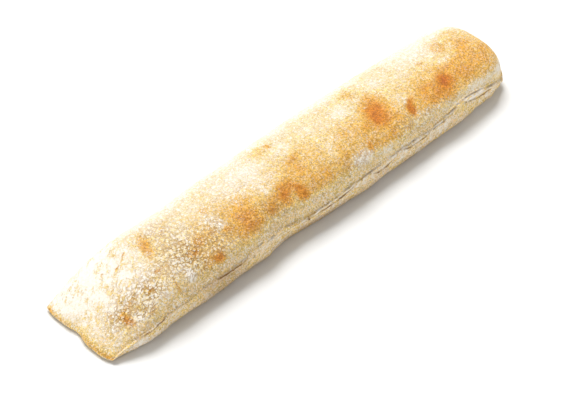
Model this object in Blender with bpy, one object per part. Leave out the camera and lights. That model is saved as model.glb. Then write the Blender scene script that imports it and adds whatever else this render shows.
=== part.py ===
"""A long ciabatta loaf: a strip of slack dough, pinched thin at one end and blunt at the other.

The loaf lies along X on the floor, with its pinched end at -X and the side with the open seam facing -Y.
Its skin is a row of rings, each a boxy rounded cross-section resting on the floor. A spot on the skin has
two coordinates. Its distance is counted from the pinched end. Its girth is counted round the full-sized
section, from the front edge of the base, up the front side and over the top to the back edge. The relief
of the crust is a height over those two: swells, blisters, creases, and the seams where the crust hangs
over the lip of the base. All sizes are in millimetres until the mesh is made.
"""

from collections import namedtuple

import bmesh
import bpy
import numpy as np

METRES = 0.001  # one millimetre

# The size of the loaf
LENGTH = 451.0  # to the rim of the pinched end, without its lobes
FRONT = 43.0  # from the loaf's middle line to its front side
BACK = 42.5
CROWN = 44.5  # height of the top
BELT = 16.0  # height at which the loaf is widest

# The cross-section: exponents of its rounded outline, where 2 is an ellipse and more is boxier
SIDE_BULGE = 2.6
TOP_BULGE = 2.4
FOOT_BULGE = 3.4
FOOT_PRESS = 1.35  # how many belt heights the underside would sag if no floor held it

# The base: a flat rectangle, outside which it curls up a little towards its edges
FLAT_HALF = 28.0  # half the rectangle's breadth
FLAT_START = 58.0  # and where it starts and finishes along the loaf
FLAT_FINISH = 405.0
CURL = 0.6  # how high the base curls
CURL_RUN = 9.0

# The pinched end: a thin browned rim from which the loaf swells to its full height
RIM = 5.5  # height of the rim
RIM_ROUND = 4.0  # the length over which the rim rounds off
RIM_BELT = 1.6  # how fast the belt climbs with the crown
PINCH_RUN = 95.0
PINCH_SWELL = 2.2  # how steeply the loaf swells behind the rim
LOBE_RUN = 14.0  # how far behind the rim its lobes still shape the skin

# The blunt end: rounded all over, with the base stopping short of the crust that hangs over it
END_ROUND = 32.0
END_BULGE = 2.6
FOOT_HOLD = 0.45  # how much less than the crown the foot rises towards the end, as a power
UNDERCUT = 9.0  # at the front corner
BACK_UNDERCUT = 3.0
UNDERCUT_RUN = 34.0
UNDERCUT_TOP = 10.5  # height at which the base starts to draw back
UNDERCUT_STEP = 4.0  # and the height over which it has drawn back in full

Swell = namedtuple("Swell", "at reach rise")
Lobe = namedtuple("Lobe", "y reach bulge")
Crease = namedtuple("Crease", "start finish breadth depth")
Blister = namedtuple("Blister", "spot length breadth rise")
Seam = namedtuple("Seam", "girth breadth depth hang reach")

# The seams, where the crust hangs over the lip of the base: the girth of each seam's valley from the edge
# of the base, the valley's breadth and depth, and how far the crust stands out and at what girth above it
FRONT_SEAM = Seam(girth=21.5, breadth=2.2, depth=1.5, hang=0.9, reach=4.5)
BACK_SEAM = Seam(girth=15.0, breadth=3.5, depth=1.2, hang=0.7, reach=6.0)

# Where the top, the front side and the back side stand out or fall in along the loaf
TOP_SWELLS = (
    Swell(at=62, reach=12, rise=0.8),
    Swell(at=112, reach=36, rise=-1.0),
    Swell(at=245, reach=70, rise=1.6),
    Swell(at=450, reach=110, rise=-3.6),
)
FRONT_SWELLS = (
    Swell(at=0, reach=22, rise=-5.0),
    Swell(at=36, reach=18, rise=0.8),
    Swell(at=186, reach=24, rise=-3.0),
    Swell(at=250, reach=60, rise=0.6),
    Swell(at=450, reach=74, rise=-4.0),
)
BACK_SWELLS = (
    Swell(at=0, reach=18, rise=-3.0),
    Swell(at=110, reach=34, rise=-1.4),
    Swell(at=265, reach=70, rise=1.2),
    Swell(at=450, reach=70, rise=-2.6),
)
# Where the front seam climbs or dips, and where it is deeper
SEAM_SWELLS = (
    Swell(at=156, reach=18, rise=3.0),
    Swell(at=205, reach=16, rise=-3.0),
    Swell(at=388, reach=26, rise=5.4),
    Swell(at=448, reach=22, rise=-6.5),
)
SEAM_DEEPENINGS = (
    Swell(at=182, reach=30, rise=1.2),
    Swell(at=400, reach=30, rise=1.4),
)

# The lobes of the pinched end, with the notch between them
LOBES = (
    Lobe(y=23, reach=15, bulge=2.5),
    Lobe(y=-19, reach=17.5, bulge=4.5),
)

# Hollows across the top, and steeper folds on the front side
CREASES = (
    Crease(start=(67, 114), finish=(50, 58), breadth=7.0, depth=1.4),
    Crease(start=(89, 92), finish=(78, 34), breadth=6.0, depth=0.9),
    Crease(start=(131, 98), finish=(120, 34), breadth=7.0, depth=0.9),
    Crease(start=(164, 116), finish=(172, 74), breadth=10.0, depth=1.6),
    Crease(start=(172, 74), finish=(155, 16), breadth=10.0, depth=1.6),
    Crease(start=(264, 92), finish=(256, 24), breadth=7.0, depth=1.3),
    Crease(start=(344, 98), finish=(322, 34), breadth=7.0, depth=1.3),
    Crease(start=(71, 58), finish=(66, 22), breadth=3.8, depth=1.8),
    Crease(start=(80, 42), finish=(73, 18), breadth=3.6, depth=1.4),
    Crease(start=(274, 74), finish=(256, 24), breadth=3.8, depth=1.2),
    Crease(start=(331, 50), finish=(317, 22), breadth=3.8, depth=1.4),
)

# Where a bubble under the crust lifted it into the heat
BLISTERS = (
    Blister(spot=(69, 84), length=9, breadth=13, rise=1.2),
    Blister(spot=(102, 46), length=15, breadth=10, rise=1.0),
    Blister(spot=(145, 54), length=19, breadth=18, rise=1.2),
    Blister(spot=(195, 48), length=13, breadth=10, rise=1.4),
    Blister(spot=(217, 60), length=11, breadth=10, rise=1.2),
    Blister(spot=(233, 46), length=14, breadth=11, rise=1.1),
    Blister(spot=(309, 68), length=12, breadth=15, rise=1.5),
    Blister(spot=(303, 46), length=18, breadth=12, rise=1.0),
    Blister(spot=(335, 49), length=6, breadth=10, rise=0.8),
    Blister(spot=(385, 58), length=36, breadth=24, rise=1.0),
    Blister(spot=(404, 86), length=7, breadth=7, rise=0.8),
    Blister(spot=(28, 47), length=15, breadth=13, rise=1.0),
)

# The corner of the crust that droops over the front of the blunt end
SPUR = Blister(spot=(438, 18), length=9, breadth=9, rise=3.0)
SPUR_REACH = 5.0  # how far the spur is drawn out past the end
SPUR_DROOP = 6.0  # and how far it hangs down

# The mesh: rings along the loaf, and the girths at which each ring has points
STRAIGHT_RINGS = 122
RIM_RINGS = 3
END_RINGS = 8
SMALLEST_SHARE = 0.06  # the size of the last ring at each end
FOOT_COLUMNS = 2
SEAM_COLUMNS = 9
SEAM_ZONE = 10.0  # girth on either side of the seam that the close columns cover
SEAM_FOLLOW = 15.0  # and within which they follow it
DOME_COLUMNS = 21
BACK_COLUMNS = 6
BASE_COLUMNS = 6


def signed_power(value, power):
    """Power that keeps the sign of its base."""
    return np.sign(value) * np.abs(value) ** power


def smooth_step(start, finish, value):
    """0 before start, 1 after finish, and an S-shaped curve between them."""
    t = np.clip((value - start) / (finish - start), 0.0, 1.0)
    return t * t * (3 - 2 * t)


def swelling(swells, distance):
    """The sum of several swells along the loaf, each a bell curve."""
    return sum(swell.rise * np.exp(-(((distance - swell.at) / swell.reach) ** 2)) for swell in swells)


def section():
    """The full-sized section as fine arrays of girth, y and z, from the front edge of the base and round."""
    landing = np.arcsin(FOOT_PRESS ** (-FOOT_BULGE / 2))
    foot = np.linspace(landing, 0.0, 200)
    foot_y = np.cos(foot) ** (2 / FOOT_BULGE)
    foot_z = BELT * (1 - FOOT_PRESS * np.sin(foot) ** (2 / FOOT_BULGE))
    dome = np.linspace(0.0, np.pi, 1000)[1:-1]
    dome_y = -signed_power(np.cos(dome), 2 / SIDE_BULGE)
    dome_z = BELT + (CROWN - BELT) * np.sin(dome) ** (2 / TOP_BULGE)
    y = np.concatenate([-foot_y, dome_y, foot_y[::-1], -foot_y[:1]])
    z = np.concatenate([foot_z, dome_z, foot_z[::-1], foot_z[:1]])
    y = np.where(y < 0, FRONT * y, BACK * y)
    girth = np.concatenate([[0.0], np.cumsum(np.hypot(np.diff(y), np.diff(z)))])
    return girth, y, z


SECTION_GIRTH, SECTION_Y, SECTION_Z = section()
AROUND = SECTION_GIRTH[-1]  # girth of the whole section
OVER = SECTION_GIRTH[-2]  # girth from the front edge of the base over the top to its back edge


def columns(distance):
    """The girths of each ring's points: close over the front seam, which they follow, wide on the base."""
    low, high = FRONT_SEAM.girth - SEAM_ZONE, FRONT_SEAM.girth + SEAM_ZONE
    stops = (0.0, low, high, OVER - BACK_SEAM.girth - SEAM_ZONE, OVER, AROUND)
    counts = (FOOT_COLUMNS, SEAM_COLUMNS, DOME_COLUMNS, BACK_COLUMNS, BASE_COLUMNS)
    even = np.concatenate([
        np.linspace(start, stop, count, endpoint=False)
        for start, stop, count in zip(stops, stops[1:], counts)
    ])
    follow = np.exp(-(((even - FRONT_SEAM.girth) / SEAM_FOLLOW) ** 4))
    return even + swelling(SEAM_SWELLS, distance) * follow


def rings():
    """Each ring's distance, and the shares of its crown, foot and breadth that the ends leave it."""
    turn = np.linspace(0.0, 0.5 * np.pi, RIM_RINGS + 1)
    rim = RIM_ROUND * (1 - np.cos(turn) ** (2 / END_BULGE))
    rim_share = np.maximum(np.sin(turn) ** (2 / END_BULGE), SMALLEST_SHARE)
    straight = np.linspace(RIM_ROUND, LENGTH - END_ROUND, STRAIGHT_RINGS)[1:-1]
    turn = np.linspace(0.0, 0.5 * np.pi, END_RINGS + 1)
    blunt = LENGTH - END_ROUND * (1 - np.sin(turn) ** (2 / END_BULGE))
    blunt_share = np.maximum(np.cos(turn) ** (2 / END_BULGE), SMALLEST_SHARE)
    full = np.ones(len(straight))
    distance = np.concatenate([rim, straight, blunt])
    crown_share = np.concatenate([rim_share, full, blunt_share])
    foot_share = np.concatenate([rim_share, full, blunt_share**FOOT_HOLD])
    breadth_share = np.concatenate([np.ones(len(rim)), full, blunt_share])
    return distance[:, None], crown_share[:, None], foot_share[:, None], breadth_share[:, None]


def bare_skin(distance, girth, crown_share, foot_share, breadth_share):
    """Points of the loaf before its relief, as an array of rings of (x, y, z)."""
    rise = 1 - np.clip(1 - distance / PINCH_RUN, 0.0, 1.0) ** PINCH_SWELL
    crown = RIM + (CROWN + swelling(TOP_SWELLS, distance) - RIM) * rise
    belt = BELT * (1 - np.clip(1 - crown / CROWN, 0.0, 1.0) ** RIM_BELT)
    front = (FRONT + swelling(FRONT_SWELLS, distance)) / FRONT
    back = (BACK + swelling(BACK_SWELLS, distance)) / BACK
    y = np.interp(girth, SECTION_GIRTH, SECTION_Y)
    z = np.interp(girth, SECTION_GIRTH, SECTION_Z)
    y = y * np.where(y < 0, front, back)
    across_base = (girth - OVER) / (AROUND - OVER) * BASE_COLUMNS  # 1 and BASE_COLUMNS - 1 bound the flat
    flat_y = FLAT_HALF * (1 - 2 * (across_base - 1) / (BASE_COLUMNS - 2))
    y = np.where(across_base > 0.5, flat_y, y) * breadth_share
    z = np.where(z > BELT, belt + (z - BELT) / (CROWN - BELT) * (crown - belt), z / BELT * belt)
    z = belt + (z - belt) * np.where(z > belt, crown_share, foot_share)
    return np.stack([np.broadcast_to(distance, y.shape), y, z], axis=-1)


def outward(points):
    """Unit vectors that point out of the skin, from the runs along and round it."""
    lengthwise = np.gradient(points, axis=0)
    round_it = np.roll(points, -1, axis=1) - np.roll(points, 1, axis=1)
    normal = np.cross(round_it, lengthwise)
    return normal / np.maximum(np.linalg.norm(normal, axis=-1, keepdims=True), 1e-9)


def bell(feature, distance, girth):
    """1 at a blister's spot, falling to 0 around it as a rounded plateau."""
    along, across = (distance - feature.spot[0]) / feature.length, (girth - feature.spot[1]) / feature.breadth
    return np.exp(-((along**2 + across**2) ** 1.5))


def crease_height(crease, distance, girth):
    """A rounded valley along the straight line between a crease's two ends, deepest halfway."""
    start, run = np.array(crease.start), np.subtract(crease.finish, crease.start)
    along = ((distance - start[0]) * run[0] + (girth - start[1]) * run[1]) / (run @ run)
    along = np.clip(along, 0.0, 1.0)
    away = np.hypot(distance - start[0] - along * run[0], girth - start[1] - along * run[1])
    fade = 1 - (2 * along - 1) ** 4
    return -crease.depth * fade * np.exp(-((away / crease.breadth) ** 2))


def seam_height(seam, above, deepening):
    """Across a seam, from the girth above its valley: the valley, and the crust that stands out over it."""
    valley = (seam.depth + deepening) * np.exp(-((above / seam.breadth) ** 2))
    hang = seam.hang * np.exp(-(((above - seam.reach) / (0.7 * seam.reach)) ** 2))
    return hang - valley


def relief(distance, girth):
    """How far the crust stands out of the bare skin."""
    height = sum(blister.rise * bell(blister, distance, girth) for blister in BLISTERS)
    height = height + sum(crease_height(crease, distance, girth) for crease in CREASES)
    above_front = girth - FRONT_SEAM.girth - swelling(SEAM_SWELLS, distance)
    height = height + seam_height(FRONT_SEAM, above_front, swelling(SEAM_DEEPENINGS, distance))
    return height + seam_height(BACK_SEAM, OVER - BACK_SEAM.girth - girth, 0.0)


def shape_pinched_end(points):
    """The two lobes of the rim, pushed out past the pinched end."""
    push = np.exp(-((points[..., 0] / LOBE_RUN) ** 2))
    for lobe in LOBES:
        points[..., 0] -= push * lobe.bulge * np.exp(-(((points[..., 1] - lobe.y) / lobe.reach) ** 4))


def shape_blunt_end(points, distance, girth):
    """The base drawn back under the crust, most at the front corner, where a spur of crust droops."""
    y, z = points[..., 1], points[..., 2]
    cut = BACK_UNDERCUT + (UNDERCUT - BACK_UNDERCUT) * smooth_step(0.0, -0.8 * FRONT, y)
    below = smooth_step(UNDERCUT_TOP, UNDERCUT_TOP - UNDERCUT_STEP, z)
    points[..., 0] -= cut * below * smooth_step(LENGTH - UNDERCUT_RUN, LENGTH, distance)
    points[..., 0] += SPUR_REACH * bell(SPUR, distance, girth)
    points[..., 2] -= SPUR_DROOP * bell(SPUR, distance, girth)


def base_height(distance, y):
    """How high the base is: nothing on its flat rectangle, and curling up to CURL away from it."""
    beyond = np.maximum(np.maximum(FLAT_START - distance, distance - FLAT_FINISH), 0.0)
    away = np.hypot(beyond, np.maximum(np.abs(y) - FLAT_HALF, 0.0))
    return CURL * (1 - np.exp(-away / CURL_RUN))


def loaf_points():
    """All the points of the loaf, with the middle of its base's box at the origin."""
    distance, crown_share, foot_share, breadth_share = rings()
    girth = columns(distance)
    points = bare_skin(distance, girth, crown_share, foot_share, breadth_share)
    on_crust = smooth_step(0.0, 4.0, girth) * smooth_step(OVER, OVER - 4.0, girth)
    height = relief(distance, girth) + SPUR.rise * bell(SPUR, distance, girth)
    points += outward(points) * (height * on_crust * crown_share)[..., None]
    shape_pinched_end(points)
    shape_blunt_end(points, distance, girth)
    points[..., 2] = np.maximum(points[..., 2], base_height(distance, points[..., 1]))
    low, high = points.min(axis=(0, 1)), points.max(axis=(0, 1))
    return points - np.array([(low[0] + high[0]) / 2, (low[1] + high[1]) / 2, low[2]])


def close_end(shape, ring):
    """Close a ring with triangles between its points over the top and those inside the base."""
    over, base = ring[: 1 - BASE_COLUMNS], ring[: -BASE_COLUMNS : -1]
    low = high = over.pop(0)
    while over:
        row = base if base and base[0].co.y < over[0].co.y else over
        corner = row.pop(0)
        if low is not high:
            shape.faces.new((low, high, corner))
        low, high = (corner, high) if row is base else (low, corner)


def skin(points):
    """A closed skin over the rings of points."""
    shape = bmesh.new()
    grid = [[shape.verts.new(point) for point in ring] for ring in (points * METRES).tolist()]
    for ring, following in zip(grid, grid[1:]):
        for here in range(len(ring)):
            shape.faces.new((ring[here - 1], ring[here], following[here], following[here - 1]))
    close_end(shape, grid[0])
    close_end(shape, grid[-1])
    bmesh.ops.recalc_face_normals(shape, faces=shape.faces)
    return shape


def crust_material():
    """Pale, floury, lightly browned crust."""
    material = bpy.data.materials.new("floured_crust")
    material.use_nodes = True
    shader = material.node_tree.nodes["Principled BSDF"]
    shader.inputs["Base Color"].default_value = (0.76, 0.53, 0.25, 1.0)
    shader.inputs["Roughness"].default_value = 0.85
    shader.inputs["Metallic"].default_value = 0.0
    return material


def make_loaf():
    """The loaf as one object."""
    shape = skin(loaf_points())
    mesh = bpy.data.meshes.new("ciabatta")
    shape.to_mesh(mesh)
    shape.free()
    mesh.shade_smooth()
    mesh.materials.append(crust_material())
    loaf = bpy.data.objects.new("ciabatta", mesh)
    bpy.context.scene.collection.objects.link(loaf)


for old in list(bpy.data.objects):
    bpy.data.objects.remove(old)
make_loaf()
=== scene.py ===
"""The looks of a long ciabatta: a strip of slack dough, floured, baked golden and pinched thin at one end.

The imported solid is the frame. One fine piece takes its place, the crust, with the same form and with the
relief that a solid of few faces leaves out: crinkled flour, crackle, the torn seam and the browned rim.

A spot on the crust has two coordinates in millimetres. Its distance is counted from the pinched end. Its
girth is counted round the full-sized section, from the front edge of the base, up the front side and over the
top to the back edge. All sizes are in millimetres until a mesh is made, and rows of features give their
fields in the order of their class.
"""

import itertools
import logging
import math
from dataclasses import dataclass, field
from enum import Enum, IntEnum
from functools import cached_property, partial

import bpy
import numpy as np
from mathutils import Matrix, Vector

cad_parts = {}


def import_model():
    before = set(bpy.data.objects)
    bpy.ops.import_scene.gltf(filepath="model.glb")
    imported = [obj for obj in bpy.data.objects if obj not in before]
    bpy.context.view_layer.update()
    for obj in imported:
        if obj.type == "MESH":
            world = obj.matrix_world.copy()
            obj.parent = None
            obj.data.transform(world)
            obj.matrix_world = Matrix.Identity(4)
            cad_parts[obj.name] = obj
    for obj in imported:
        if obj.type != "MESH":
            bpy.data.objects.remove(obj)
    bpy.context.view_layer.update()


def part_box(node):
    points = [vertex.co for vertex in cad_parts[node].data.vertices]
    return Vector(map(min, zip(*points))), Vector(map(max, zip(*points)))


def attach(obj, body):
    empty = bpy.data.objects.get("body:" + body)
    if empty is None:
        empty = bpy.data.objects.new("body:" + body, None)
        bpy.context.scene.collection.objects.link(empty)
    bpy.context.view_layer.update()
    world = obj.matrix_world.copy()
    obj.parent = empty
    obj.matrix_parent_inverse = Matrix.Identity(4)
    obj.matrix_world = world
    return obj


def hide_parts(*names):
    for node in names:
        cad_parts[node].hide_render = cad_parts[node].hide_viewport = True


LOG = logging.getLogger("ciabatta")
Array = np.ndarray
METRES = 0.001  # one millimetre
PRIMES = np.array([73856093, 19349663, 83492791])  # large ones, which spread a lattice's corners
SEED_PRIME = 7919  # which spreads the seeds


class Seed(IntEnum):
    """The first random numbers each pattern draws: strayed coordinates draw four sets, and cells three."""

    GRAIN = 4
    TEAR = 21
    TEAR_RAG = 22
    UPRIGHT = 24
    BROAD = 25
    LAYERS = 26
    CRUMPLE_STRAY = 33
    CRUMPLES = 36
    SMALL_CRUMPLES = 39
    BURST = 41
    BROKEN = 42
    FOLD_STRAY = 45
    CRACKLE = 51
    SMALL_CRACKLE = 55
    BAKE_STRAY = 61
    BROWN = 65
    RIM = 66
    DUST = 71
    BARE_BACK = 72
    TEAR_SHADE = 81
    STRAND_SHADE = 82


# ---- Curves and noise ----


def signed_power(value: Array, power: float) -> Array:
    """Power that keeps the sign of its base."""
    return np.sign(value) * np.abs(value) ** power


def smooth_step(start: float, finish: float, value: Array) -> Array:
    """S-shaped climb from 0 to 1.

    Args:
        start: the value up to which the result is 0.
        finish: the value from which the result is 1; it may lie below start.
        value: where to read the curve.

    Returns:
        3t² - 2t³, with t the share of the way from start to finish.
    """
    t = np.clip((value - start) / (finish - start), 0.0, 1.0)
    return t * t * (3 - 2 * t)


def bell(away: Array, reach: Array | float, power: int = 2) -> Array:
    """Bell curve: exp(-(away / reach)²), 1 in its middle; a higher power in place of 2 makes it flatter."""
    return np.exp(-((away / reach) ** power))


def lattice_values(corner: Array, seed: int) -> Array:
    """Repeatable random numbers from 0 to 1 at the corners of a lattice.

    Args:
        corner: whole numbers, three to a corner along the last axis.
        seed: which set of numbers to give.

    Returns:
        One number for each corner: the corner times three primes, with its bits mixed twice by a shift, an
        exclusive or and a product, and 24 of them read as a fraction.
    """
    mixed = corner @ PRIMES + seed * SEED_PRIME
    for shift, factor in ((13, 1540483477), (15, 668265261)):
        mixed = ((mixed ^ (mixed >> shift)) * factor) & 0xFFFFFFFF
    return ((mixed ^ (mixed >> 12)) & 0xFFFFFF) / 0xFFFFFF


def soft_noise(points: Array, cell: float, seed: int) -> Array:
    """Smooth noise from -1 to 1.

    Args:
        points: places in millimetres, three numbers each.
        cell: the lattice's spacing, which is half the size of the waves.
        seed: which noise to give.

    Returns:
        The random values of the eight corners round each point, blended by S-curves along each axis.
    """
    place = points / cell
    corner = np.floor(place).astype(np.int64)
    t = smooth_step(0.0, 1.0, place - corner)
    total = np.zeros(points.shape[:-1])
    for offset in itertools.product((0, 1), repeat=3):
        weight = np.prod(np.where(offset, t, 1 - t), axis=-1)
        total += weight * lattice_values(corner + np.array(offset), seed)
    return 2 * total - 1


def cell_borders(points: Array, cell: float, seed: int) -> Array:
    """How far points lie from the borders between random cells.

    Args:
        points: places in millimetres, three numbers each.
        cell: the mean size of a cell.
        seed: which cells to give.

    Returns:
        0 on a border and about 0.5 in a cell's middle: the distance to the second nearest cell centre less
        that to the nearest, each cube of a lattice holding one centre at random.
    """
    place = points / cell
    corner = np.floor(place).astype(np.int64)
    nearest = np.full(points.shape[:-1], 9.0)
    second = nearest.copy()
    for offset in itertools.product((-1, 0, 1), repeat=3):
        cube = corner + np.array(offset)
        centre = cube + np.stack([lattice_values(cube, seed + axis) for axis in range(3)], axis=-1)
        away = np.linalg.norm(place - centre, axis=-1)
        second = np.minimum(second, np.maximum(nearest, away))
        nearest = np.minimum(nearest, away)
    return second - nearest


@dataclass(frozen=True)
class Places:
    """Points of the crust: their two coordinates, and where they lie before their relief."""

    distance: Array
    girth: Array
    bare: Array

    def strayed(self, reach: float, run: float, seed: int) -> tuple[Array, Array]:
        """Both coordinates, moved a little by noise, so that what is drawn over them looks torn.

        Args:
            reach: how far they may move.
            run: the spacing of the noise.
            seed: the first of the four noises to use.

        Returns:
            Each coordinate plus reach times noise, and 0.4 of that again at a third of the spacing.
        """
        moved = []
        for place, own_seed in ((self.distance, seed), (self.girth, seed + 2)):
            stray = soft_noise(self.bare, run, own_seed) + 0.4 * soft_noise(self.bare, run / 3, own_seed + 1)
            moved.append(place + reach * stray)
        return moved[0], moved[1]


# ---- Features of the crust ----


@dataclass(frozen=True)
class Ramp:
    """An S-shaped climb from 0 at one place to its gain at another, which may lie below the first."""

    start: float
    finish: float
    gain: float = 1.0

    def at(self, place: Array) -> Array:
        """The gain times the S-curve at each place."""
        return self.gain * smooth_step(self.start, self.finish, place)


def zone(ramps: tuple[Ramp, ...], place: Array) -> Array:
    """How far inside a zone each place lies, 0 to 1: the product of the ramps at its two ends."""
    return math.prod(ramp.at(place) for ramp in ramps)


@dataclass(frozen=True)
class Swell:
    """A rise or fall of the loaf round one distance, a bell curve along it."""

    at: float
    reach: float
    rise: float


def swelling(swells: tuple[Swell, ...], distance: Array) -> Array:
    """The sum of the swells at each distance, each its rise times a bell curve."""
    return sum(swell.rise * bell(distance - swell.at, swell.reach) for swell in swells)


@dataclass(frozen=True)
class Lobe:
    """A part of the pinched rim that is pushed out past the end."""

    y: float
    reach: float
    bulge: float


@dataclass(frozen=True)
class Blister:
    """A spot where a bubble under the crust lifted it, or with a negative rise a pore."""

    spot: tuple[float, float]
    length: float
    breadth: float
    rise: float

    def bell(self, distance: Array, girth: Array) -> Array:
        """1 at the spot, falling to 0 round it as a rounded plateau: exp(-(along² + across²)^1.5)."""
        along = (distance - self.spot[0]) / self.length
        across = (girth - self.spot[1]) / self.breadth
        return np.exp(-((along**2 + across**2) ** 1.5))


@dataclass(frozen=True)
class Crease:
    """A valley along a straight line on the unrolled crust."""

    start: tuple[float, float]
    finish: tuple[float, float]
    breadth: float
    depth: float
    lip: float = 0.0  # how far the crust stands up beside the valley, as a share of its depth

    def height(self, distance: Array, girth: Array) -> Array:
        """The valley and its lips.

        Args:
            distance: of the points.
            girth: of the points.

        Returns:
            Minus the depth times a bell curve across the line, times 1 - (2 along - 1)⁴, deepest halfway;
            the lips are the same curve at twice the breadth, raised.
        """
        start = np.array(self.start)
        run = np.subtract(self.finish, self.start)
        along = ((distance - start[0]) * run[0] + (girth - start[1]) * run[1]) / (run @ run)
        along = np.clip(along, 0.0, 1.0)
        away = np.hypot(distance - start[0] - along * run[0], girth - start[1] - along * run[1])
        fade = 1 - (2 * along - 1) ** 4
        valley = bell(away, self.breadth)
        lips = bell(away, 2 * self.breadth) - valley
        return self.depth * fade * (self.lip * lips - valley)


@dataclass(frozen=True)
class Seam:
    """The line where the crust hangs over the lip of the base."""

    girth: float
    breadth: float
    depth: float
    hang: float
    reach: float  # girth from the valley up to where the crust stands out most

    def height(self, above: Array, deepening: Array | float) -> Array:
        """Across the seam, from the girth above its valley: the crust that stands out, less the valley."""
        valley = (self.depth + deepening) * bell(above, self.breadth)
        return self.hang * bell(above - self.reach, 0.7 * self.reach) - valley


@dataclass(frozen=True)
class Strand:
    """Pale dough that shows where the seam gapes, between its tear and a second tear below it."""

    start: float
    finish: float
    drop: float  # girth between the two tears where they are furthest apart
    rise: float

    def gape(self, distance: Array) -> Array:
        """Girth between the two tears: drop times the root of a half sine wave from start to finish."""
        share = np.clip((distance - self.start) / (self.finish - self.start), 0.0, 1.0)
        return self.drop * np.sqrt(np.sin(np.pi * share))

    def shown(self, distance: Array, above: Array) -> Array:
        """How much of the strand each point has: 4 s (1 - s), with s the share of the way down the gape."""
        share = np.clip(-above / np.maximum(self.gape(distance), 0.2), 0.0, 1.0)
        return 4 * share * (1 - share)

    def second_tear(self, distance: Array, above: Array, breadth: float) -> Array:
        """1 on the second tear and 0 away from it: a bell curve across it, where the seam gapes."""
        gape = self.gape(distance)
        open_here = smooth_step(0.2, 0.6, gape / self.drop)
        return open_here * bell(above + gape, breadth)


@dataclass(frozen=True)
class Patch:
    """A patch of browning or flour on the unrolled crust, an ellipse with a soft edge."""

    spot: tuple[float, float]
    length: float
    breadth: float
    strength: float
    turn: float = 0.0  # degrees from the run of the loaf towards growing girth
    hollow: float = 0.0  # 0 for a full patch, 1 for a ring

    def amount(self, distance: Array, girth: Array) -> Array:
        """How much of the patch each point has.

        Args:
            distance: of the points.
            girth: of the points.

        Returns:
            The strength times exp(-r³), with r the radius in the turned ellipse; a hollow patch has a
            bell curve round r = 1 in its place.
        """
        turn = math.radians(self.turn)
        along, across = distance - self.spot[0], girth - self.spot[1]
        u = (along * math.cos(turn) + across * math.sin(turn)) / self.length
        v = (across * math.cos(turn) - along * math.sin(turn)) / self.breadth
        radius = np.hypot(u, v)
        full, ring = bell(radius, 1.0, 3), bell(radius - 1, 0.38)
        return self.strength * ((1 - self.hollow) * full + self.hollow * ring)


def patchwork(patches: tuple[Patch, ...], distance: Array, girth: Array) -> Array:
    """The sum of the patches at each point."""
    return sum(patch.amount(distance, girth) for patch in patches)


# ---- The form of the loaf ----


@dataclass(frozen=True)
class RingPlan:
    """Each ring's distance, and the shares of its crown, foot and breadth that the ends leave it."""

    distance: Array
    crown_share: Array
    foot_share: Array
    breadth_share: Array


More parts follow.
